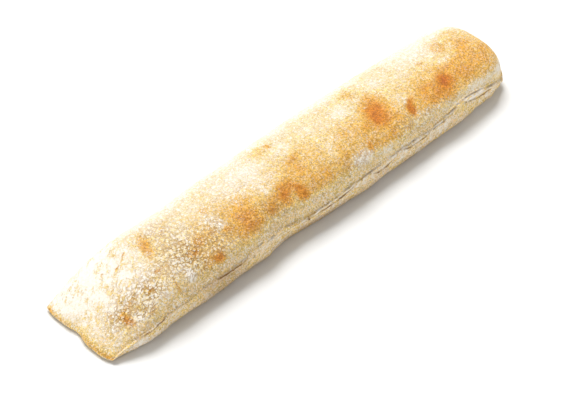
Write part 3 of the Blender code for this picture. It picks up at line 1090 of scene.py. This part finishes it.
def linear(hex_colour: str) -> tuple[float, float, float, float]:
    """An sRGB hex colour as linear red, green, blue and alpha.

    Args:
        hex_colour: six hex digits after a hash sign.

    Returns:
        Each channel through the sRGB curve: c / 12.92 below 0.04045, else ((c + 0.055) / 1.055)^2.4.
    """
    channels = [int(hex_colour[place : place + 2], 16) / 255 for place in (1, 3, 5)]
    return (*(c / 12.92 if c <= 0.04045 else ((c + 0.055) / 1.055) ** 2.4 for c in channels), 1.0)


def add_node(
    tree: bpy.types.NodeTree, kind: str, inputs: dict | None = None, output: int | str = 0, **settings
) -> bpy.types.NodeSocket:
    """Adds a node with its settings and links.

    Args:
        tree: the material's nodes.
        kind: the node's type, less ShaderNode at its start.
        inputs: by name or number, a value for the socket or an output that is linked to it.
        output: name or number of the output to give back.
        settings: the node's own properties.

    Returns:
        The output.
    """
    node = tree.nodes.new("ShaderNode" + kind)
    for name, value in settings.items():
        setattr(node, name, value)
    for key, value in (inputs or {}).items():
        if isinstance(value, bpy.types.NodeSocket):
            tree.links.new(value, node.inputs[key])
        else:
            node.inputs[key].default_value = value
    return node.outputs[output]


class Trace(Enum):
    """What the bake and the dusting leave at each point, and the painted shade, kept as attributes of the
    mesh.
    """

    BROWNING = "browning"
    FLOUR = "flour"
    CRACKING = "cracking"
    # painted shade: tears, folds, pores and the foot darkened as if in shade
    PAINTED_SHADE = "painted_shade"


@dataclass(frozen=True)
class FlouredBakedCrust:
    """Wheat crust, dusted with flour and baked on the stone.

    To the eye it is dry and matt. The crust itself is cream to chestnut with a faint sheen where it browned.
    The flour lies on it as a chalky film of specks, torn into scales where the dough grew under it, with the
    darker crust in the cracks. Shade is painted into its tears, folds and pores and along its foot.
    """

    slot: str = "floured_crust"
    dough: str = "#E0C094"
    cream: str = "#E8CA7E"
    golden: str = "#DEAA4C"
    orange: str = "#CE822C"
    chestnut: str = "#B25C26"
    bakes: tuple[float, float, float] = (0.28, 0.52, 0.76)  # browning at which it is cream, golden and orange
    veil: str = "#F6E9CC"  # thin flour, toasted with the crust
    flour: str = "#F8F0E4"
    crack: str = "#A8703A"  # crust in the cracks of the flour
    shade: str = "#8C682E"  # painted shade: what the deepest tears are multiplied by, and folds, pores and the foot less
    ior: float = 1.45
    specular: float = 0.2  # open pores leave the crust less gloss than its IOR would
    crust_roughness: float = 0.62
    flour_roughness: float = 0.95
    blotch: float = 7.0  # mm, of uneven browning
    grain: float = 0.9  # mm, of sandy crust and of flour; both are finer, drawn this coarse so that they show
    clump: float = 3.4  # mm, of flour that caked
    scale: float = 3.2  # mm, between the cracks in the flour
    gap: float = 3.0  # mm, along which a crack opens and closes
    bend: float = 1.6  # mm, by which a crack strays from a straight line
    pit: float = 1.7  # mm, between dark pits
    bump_rise: float = 0.5  # mm

    def build(self) -> bpy.types.Material:
        """Makes the material.

        Returns:
            A Principled shader whose colour, roughness and bump come from the mesh's traces, broken up by
            noise and cells at the sizes above.
        """
        material = bpy.data.materials.new("floured_baked_crust")
        material.use_nodes = True
        tree = material.node_tree
        shader = tree.nodes["Principled BSDF"]
        node = partial(add_node, tree)
        place = node("TexCoord", output="Object")
        browning, flour, cracking, painted_shade = (
            node("Attribute", output="Fac", attribute_name=trace.value) for trace in Trace
        )
        blotches, clumps, openings, pitted = (
            node("TexNoise", {"Vector": place, "Scale": 1 / (size * METRES), "Detail": detail})
            for size, detail in ((self.blotch, 4.0), (self.clump, 3.0), (self.gap, 2.0), (self.pit, 1.0))
        )
        grains = node("TexVoronoi", {"Vector": place, "Scale": 1 / (self.grain * METRES)}, "Color")
        flecks, specks = (
            node("SeparateColor", {"Color": grains}, channel) for channel in ("Red", "Green")
        )

        # the baked crust: browning, broken up by blotches and flecks, looked up in the bake's colours
        brown = node("Math", {0: blotches, 1: 0.34, 2: browning}, operation="MULTIPLY_ADD")
        brown = node("Math", {0: flecks, 1: 0.08, 2: brown}, operation="MULTIPLY_ADD")
        brown = node("Math", {0: brown, 1: 0.20}, operation="SUBTRACT", use_clamp=True)
        crust = node("ValToRGB", {"Fac": brown})
        bake = crust.node.color_ramp.elements
        bake[0].color = linear(self.dough)
        bake[-1].color = linear(self.chestnut)
        for position, colour in zip(self.bakes, (self.cream, self.golden, self.orange)):
            bake.new(position).color = linear(colour)
        sand = node("MapRange", {"Value": flecks, "To Min": 1.30, "To Max": 0.66})
        crust = node("VectorMath", {0: crust, "Scale": sand}, operation="SCALE")

        # flour: a veil that thickens in clumps, and specks on it, sharper where the crust burst
        dust = node("Math", {0: flour, 1: 0.90, 2: -0.275}, operation="MULTIPLY_ADD")
        dust = node("Math", {0: clumps, 1: 0.55, 2: dust}, operation="MULTIPLY_ADD")
        veil = {"Value": dust, "From Min": 0.12, "From Max": 0.85, "To Max": 0.85}
        veil = node("MapRange", veil, interpolation_type="SMOOTHSTEP")
        coarse = {"Value": cracking, "From Max": 0.3, "To Min": 0.40, "To Max": 0.65}
        coarse = node("MapRange", coarse)
        centred = node("Math", {0: specks, 1: 0.5}, operation="SUBTRACT")
        dusted = node("Math", {0: centred, 1: coarse, 2: dust}, operation="MULTIPLY_ADD")
        film = {"Value": dusted, "From Min": 0.46, "From Max": 0.66, "To Max": 0.92}
        film = node("MapRange", film, interpolation_type="SMOOTHSTEP")
        ends = {"From Min": 0.25, "From Max": 0.72, "To Min": 0.80, "To Max": 0.04}
        bright = node("MapRange", {"Value": browning, **ends})
        glints = {"Value": specks, "From Min": 0.66, "From Max": 0.82, "To Max": bright}
        glints = node("MapRange", glints, interpolation_type="SMOOTHSTEP")
        film = node("Math", {0: film, 1: glints}, operation="MAXIMUM")
        colour = node("Mix", {0: veil, 6: crust, 7: linear(self.veil)}, 2, data_type="RGBA")
        colour = node("Mix", {0: film, 6: colour, 7: linear(self.flour)}, 2, data_type="RGBA")

        # cracks between scales of flour, and pits in them, down to dark crust
        warp = {"Vector": place, "Scale": 1 / (2 * self.bend * METRES), "Detail": 1.0}
        warp = node("TexNoise", warp, "Color")
        bent = {0: warp, 1: (2 * self.bend * METRES,) * 3, 2: place}
        bent = node("VectorMath", bent, operation="MULTIPLY_ADD")
        cells = {"Vector": bent, "Scale": 1 / (self.scale * METRES)}
        borders = node("TexVoronoi", cells, feature="DISTANCE_TO_EDGE")
        ranges = (
            {"Value": value, "From Min": low, "From Max": high}
            for value, low, high in ((borders, 0.20, 0.06), (openings, 0.36, 0.54), (pitted, 0.62, 0.72))
        )
        gaps, broken, pits = (
            node("MapRange", ends, interpolation_type="SMOOTHSTEP") for ends in ranges
        )
        cracks = node("Math", {0: gaps, 1: broken}, operation="MULTIPLY")
        cracks = node("Math", {0: cracks, 1: pits}, operation="MAXIMUM")
        cracks = node("Math", {0: cracks, 1: cracking}, operation="MULTIPLY")
        dark = node("Mix", {0: 0.60, 6: crust, 7: linear(self.crack)}, 2, data_type="RGBA")
        colour = node("Mix", {0: cracks, 6: colour, 7: dark}, 2, data_type="RGBA")

        # painted shade: folds, tears, pores and the foot darkened and yellowed, where less light and no flour
        # reach
        shade = {0: painted_shade, 6: colour, 7: linear(self.shade)}
        colour = node("Mix", shade, 2, data_type="RGBA", blend_type="MULTIPLY")

        ends = {"To Min": self.crust_roughness, "To Max": self.flour_roughness}
        rough = node("MapRange", {"Value": film, **ends})
        rise = node("Math", {0: specks, 1: 0.3, 2: film}, operation="MULTIPLY_ADD")
        rise = node("Math", {0: cracks, 1: -1.5, 2: rise}, operation="MULTIPLY_ADD")
        heights = {"Strength": 1.0, "Distance": self.bump_rise * METRES, "Height": rise}
        tree.links.new(colour, shader.inputs["Base Color"])
        tree.links.new(rough, shader.inputs["Roughness"])
        tree.links.new(node("Bump", heights), shader.inputs["Normal"])
        shader.inputs["IOR"].default_value = self.ior
        shader.inputs["Specular IOR Level"].default_value = self.specular
        shader.inputs["Metallic"].default_value = 0.0
        return material


@dataclass(frozen=True)
class PaperSweep:
    """Matt white background paper: it shows nothing but the loaf's soft shadow."""

    colour: str = "#E9E9E8"
    roughness: float = 0.9

    def build(self) -> bpy.types.Material:
        """The material, a Principled shader of one pale colour."""
        material = bpy.data.materials.new("matt_white_paper")
        material.use_nodes = True
        shader = material.node_tree.nodes["Principled BSDF"]
        shader.inputs["Base Color"].default_value = linear(self.colour)
        shader.inputs["Roughness"].default_value = self.roughness
        shader.inputs["Specular IOR Level"].default_value = 0.0
        return material


# ---- The crust ----


@dataclass
class Crust:
    """The loaf's skin as one fine closed surface, under 200,000 triangles."""

    form: LoafForm = field(default_factory=LoafForm)
    finish: FlouredBakedCrust = FlouredBakedCrust()
    name: str = "ciabatta_crust"
    node: str = "ciabatta"
    body: str = "root"
    rim_rings: int = 12
    straight_rings: int = 466
    end_rings: int = 22
    smallest_share: float = 0.04  # the size of the last ring at each end
    side_columns: tuple[int, int, int, int] = (12, 38, 96, 36)  # of the foot, the seam, the dome and the back
    base_columns: int = 12
    seam_low: float = 10.5  # girth below the seam from which the close columns start
    seam_high: float = 8.5  # girth above it at which they finish
    dome_finish: float = 112.0  # girth from which the back's wider columns start
    seam_follow: float = 15.0  # girth from the seam within which the columns follow it

    def plan(self) -> RingPlan:
        """The rings, evenly spaced along the loaf and rounding off at both ends as superellipses."""
        form = self.form
        power = 2 / form.end_bulge
        turn = np.linspace(0.0, 0.5 * np.pi, self.rim_rings + 1)
        rim = form.rim_round * (1 - np.cos(turn) ** power)
        rim_share = np.maximum(np.sin(turn) ** power, self.smallest_share)
        straight = np.linspace(form.rim_round, form.length - form.end_round, self.straight_rings)[1:-1]
        turn = np.linspace(0.0, 0.5 * np.pi, self.end_rings + 1)
        blunt = form.length - form.end_round * (1 - np.sin(turn) ** power)
        blunt_share = np.maximum(np.cos(turn) ** power, self.smallest_share)
        full = np.ones(len(straight))
        distance = np.concatenate([rim, straight, blunt])
        crown_share = np.concatenate([rim_share, full, blunt_share])
        foot_share = np.concatenate([rim_share, full, blunt_share**form.foot_hold])
        breadth_share = np.concatenate([np.ones(len(rim)), full, blunt_share])
        return RingPlan(*(row[:, None] for row in (distance, crown_share, foot_share, breadth_share)))

    def columns(self, distance: Array) -> Array:
        """The girths of each ring's points.

        Args:
            distance: of the rings, as a column.

        Returns:
            A row of girths for each ring: close over the front seam, which they follow, and wide on the base.
        """
        seam, over = self.form.front_seam.girth, self.form.over
        stops = (0.0, seam - self.seam_low, seam + self.seam_high, self.dome_finish, over, self.form.around)
        counts = (*self.side_columns, self.base_columns)
        even = np.concatenate([
            np.linspace(start, stop, count, endpoint=False)
            for start, stop, count in zip(stops, stops[1:], counts)
        ])
        follow = bell(even - seam, self.seam_follow, 4)
        return even + swelling(self.form.seam_swells, distance) * follow

    def surface(self) -> tuple[Array, dict[Trace, Array]]:
        """All the points of the crust and its traces.

        Returns:
            Rings of (x, y, z) in the loaf's own frame, set over the solid's box, and each trace's values.
            A point is the bare skin's, moved along its outward direction by the solid's relief and the fine
            relief, both fading out towards the base and the ends.
        """
        form = self.form
        plan = self.plan()
        girth = self.columns(plan.distance)
        distance = np.broadcast_to(plan.distance, girth.shape)
        bare = form.bare_skin(plan, girth, self.base_columns)
        fine = FineRelief(form, Places(distance, girth, bare))
        bake = Bake(fine)
        on_crust = smooth_step(0.0, 4.0, girth) * smooth_step(form.over, form.over - 4.0, girth)
        thin = np.sqrt(plan.crown_share)
        relief = form.relief(distance, girth) + form.spur.rise * form.spur.bell(distance, girth)
        height = relief * plan.crown_share + fine.height() * thin
        points = bare + outward(bare) * (height * on_crust)[..., None]
        form.shape_ends(points, distance, girth)
        points[..., 2] = np.maximum(points[..., 2], form.base_height(distance, points[..., 1]))
        traces = {
            Trace.BROWNING: bake.browning,
            Trace.FLOUR: bake.flour,
            Trace.CRACKING: bake.cracking,
            Trace.PAINTED_SHADE: bake.painted_shade,
        }
        return self.over_solid(points), traces

    def over_solid(self, points: Array) -> Array:
        """The points, moved so that their box stands over the solid's: same middle, same floor."""
        low, high = (np.array(corner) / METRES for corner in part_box(self.node))
        middle = (low + high) / 2 - (points.min(axis=(0, 1)) + points.max(axis=(0, 1))) / 2
        middle[2] = low[2] - points[..., 2].min()
        return points + middle

    def closing(self, ring: Array, here: Array) -> Array:
        """Triangles that close an end ring, between its points over the top and those inside the base.

        Both rows run from the front edge of the base to its back edge. Their edges are taken in the order of
        the breadth at which they finish, and each makes a triangle with the point then reached in the other
        row.

        Args:
            ring: the ring's points.
            here: their numbers in the mesh.

        Returns:
            Rows of three point numbers, without those that repeat a point.
        """
        last = len(here) - self.base_columns
        over = here[: last + 1]
        base = np.concatenate([here[:1], here[: last - 1 : -1]])
        y_base = ring[np.concatenate([[0], np.arange(len(here) - 1, last - 1, -1)]), 1]
        y_over = np.maximum.accumulate(np.clip(ring[: last + 1, 1], y_base[0], y_base[-1]))
        reached_base = base[np.searchsorted(y_base[1:], y_over[1:], "left")]
        reached_over = over[np.searchsorted(y_over[1:], y_base[1:], "right")]
        triangles = np.concatenate([
            np.stack([over[:-1], over[1:], reached_base], axis=-1),
            np.stack([base[1:], base[:-1], reached_over], axis=-1),
        ])
        a, b, c = triangles.T
        return triangles[(a != b) & (b != c) & (c != a)]

    def faces(self, points: Array) -> list[list[int]]:
        """The faces of the skin.

        Args:
            points: rings of (x, y, z).

        Returns:
            Four-sided faces between neighbouring rings, and the triangles that close both ends.
        """
        here = np.arange(points.shape[0] * points.shape[1]).reshape(points.shape[:2])
        beside = np.roll(here, -1, axis=1)
        sides = np.stack([here[:-1], here[1:], beside[1:], beside[:-1]], axis=-1)
        faces = sides.reshape(-1, 4).tolist()
        faces += self.closing(points[0], here[0]).tolist()
        faces += self.closing(points[-1], here[-1])[:, ::-1].tolist()
        return faces

    def build(self) -> bpy.types.Object:
        """Makes the piece, dresses it and puts it in the solid's place.

        Returns:
            The crust's object.
        """
        points, traces = self.surface()
        mesh = bpy.data.meshes.new(self.name)
        mesh.from_pydata((points.reshape(-1, 3) * METRES).tolist(), [], self.faces(points))
        for trace, values in traces.items():
            attribute = mesh.attributes.new(trace.value, "FLOAT", "POINT")
            attribute.data.foreach_set("value", np.ascontiguousarray(values, dtype=np.float32).ravel())
        mesh.shade_smooth()
        mesh.materials.append(self.finish.build())
        mesh.validate()
        crust = bpy.data.objects.new(self.name, mesh)
        bpy.context.scene.collection.objects.link(crust)
        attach(crust, self.body)
        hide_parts(self.node)
        LOG.info("%s: %d rings of %d points", self.name, *points.shape[:2])
        return crust


# ---- The studio ----


def direction(azimuth: float, elevation: float) -> Vector:
    """Unit vector from the loaf; azimuth 0 is in front of its open side, 180 behind it, in degrees."""
    a, e = math.radians(azimuth), math.radians(elevation)
    return Vector((math.sin(a) * math.cos(e), -math.cos(a) * math.cos(e), math.sin(e)))


@dataclass(frozen=True)
class Lamp:
    """A round soft light that faces the loaf. Sizes are in metres and degrees."""

    name: str
    watts: float
    size: float
    away: float
    azimuth: float
    elevation: float

    def build(self) -> None:
        """Makes the light and aims it at the loaf."""
        light = bpy.data.lights.new(self.name, "AREA")
        light.shape = "DISK"
        light.size = self.size
        light.energy = self.watts
        lamp = bpy.data.objects.new(self.name, light)
        back = direction(self.azimuth, self.elevation)
        lamp.location = back * self.away
        lamp.rotation_euler = back.to_track_quat("Z", "Y").to_euler()
        bpy.context.scene.collection.objects.link(lamp)


@dataclass
class Studio:
    """White paper, soft light from behind the loaf, and the camera. Lengths are in metres."""

    sweep_half: float = 4.0
    sweep_drop: float = 0.0002  # below the base, so that the two don't share a plane
    world_light: float = 0.34
    lamps: tuple[Lamp, ...] = (
        Lamp("soft_key", watts=140.0, size=2.1, away=3.5, azimuth=154.0, elevation=61.0),
        Lamp("front_card", watts=12.0, size=1.2, away=2.0, azimuth=-36.0, elevation=7.0),
        Lamp("end_card", watts=11.5, size=1.2, away=2.0, azimuth=-98.0, elevation=10.0),
        Lamp("near_card", watts=0.32, size=0.4, away=0.6, azimuth=50.0, elevation=20.0),
    )
    azimuth: float = -44.6
    elevation: float = 44.1
    camera_away: float = 2.4
    focal: float = 2976.0  # pixels of the photograph, which is 564 by 400
    picture: tuple[int, int] = (564, 400)
    target: tuple[float, float, float] = (0.0030, 0.0004, 0.0200)
    target_pixel: tuple[float, float] = (290.3, 175.3)
    sensor: float = 36.0

    def add_sweep(self) -> None:
        """The paper under the loaf, as a staged square."""
        half, low = self.sweep_half, -self.sweep_drop
        corners = [(-half, -half, low), (half, -half, low), (half, half, low), (-half, half, low)]
        mesh = bpy.data.meshes.new("paper_sweep")
        mesh.from_pydata(corners, [], [(0, 1, 2, 3)])
        mesh.materials.append(PaperSweep().build())
        sweep = bpy.data.objects.new("paper_sweep", mesh)
        bpy.context.scene.collection.objects.link(sweep)

    def add_light(self) -> None:
        """A large soft key behind the loaf, three low cards round it, and a white surround."""
        for lamp in self.lamps:
            lamp.build()
        world = bpy.data.worlds.new("white_surround")
        world.use_nodes = True
        world.node_tree.nodes["Background"].inputs["Color"].default_value = linear("#FFFFFF")
        world.node_tree.nodes["Background"].inputs["Strength"].default_value = self.world_light
        bpy.context.scene.world = world

    def add_camera(self) -> None:
        """The camera at the photograph's angle.

        Its place is camera_away behind the target. It is aimed beside the target by as many pixels as the
        target's pixel lies off the picture's middle, at focal / camera_away pixels to the metre.
        """
        lens = bpy.data.cameras.new("camera")
        lens.sensor_width = self.sensor
        lens.lens = self.focal / self.picture[0] * self.sensor
        lens.clip_end = 20.0
        camera = bpy.data.objects.new("camera", lens)
        back = direction(self.azimuth, self.elevation)
        right = Vector((0.0, 0.0, 1.0)).cross(back).normalized()
        up = back.cross(right)
        metres_per_pixel = self.camera_away / self.focal
        off_right = (self.target_pixel[0] - self.picture[0] / 2) * metres_per_pixel
        off_up = (self.picture[1] / 2 - self.target_pixel[1]) * metres_per_pixel
        aim = Vector(self.target) - right * off_right - up * off_up
        camera.location = Vector(self.target) + back * self.camera_away
        camera.rotation_euler = (camera.location - aim).to_track_quat("Z", "Y").to_euler()
        bpy.context.scene.collection.objects.link(camera)
        bpy.context.scene.camera = camera

    def build(self) -> None:
        """Sets up the paper, the light, the camera and a plain view transform."""
        self.add_sweep()
        self.add_light()
        self.add_camera()
        bpy.context.scene.view_settings.view_transform = "Standard"
        LOG.info("studio: paper, key light, surround and camera")


def main() -> None:
    """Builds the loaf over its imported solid, then the studio."""
    logging.basicConfig(level=logging.INFO, format="%(name)s: %(message)s")
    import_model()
    Crust().build()
    Studio().build()


if __name__ == "__main__":
    main()
